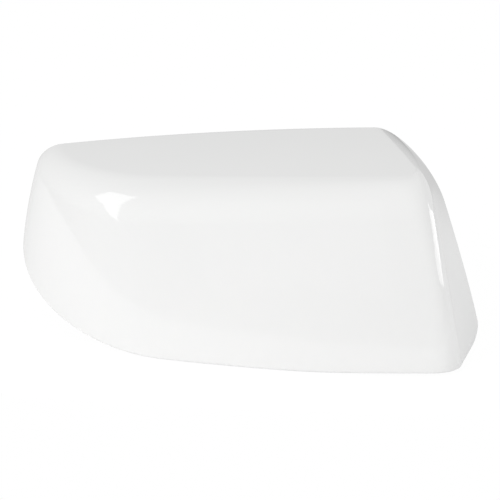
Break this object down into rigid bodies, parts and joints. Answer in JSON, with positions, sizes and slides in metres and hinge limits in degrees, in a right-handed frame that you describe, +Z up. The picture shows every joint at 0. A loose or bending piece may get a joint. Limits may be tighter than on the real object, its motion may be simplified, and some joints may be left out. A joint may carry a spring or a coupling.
{
  "type": "wing mirror cover",
  "caption": "Moulded cover for the front and top of a left-hand door mirror housing, with locating pins and snap hooks inside.",
  "frame": {"origin": "middle of the free length of the main locating pin, inside the cover", "axes": "+X outboard, +Y rearwards along the pins to the mirror glass, +Z up"},
  "size_m": [0.2317, 0.0774, 0.1015],
  "materials": {
    "white_paint": "gloss"
  },
  "bodies": {
    "root": {"mirror_cover": "white_paint"}
  },
  "joints": []
}
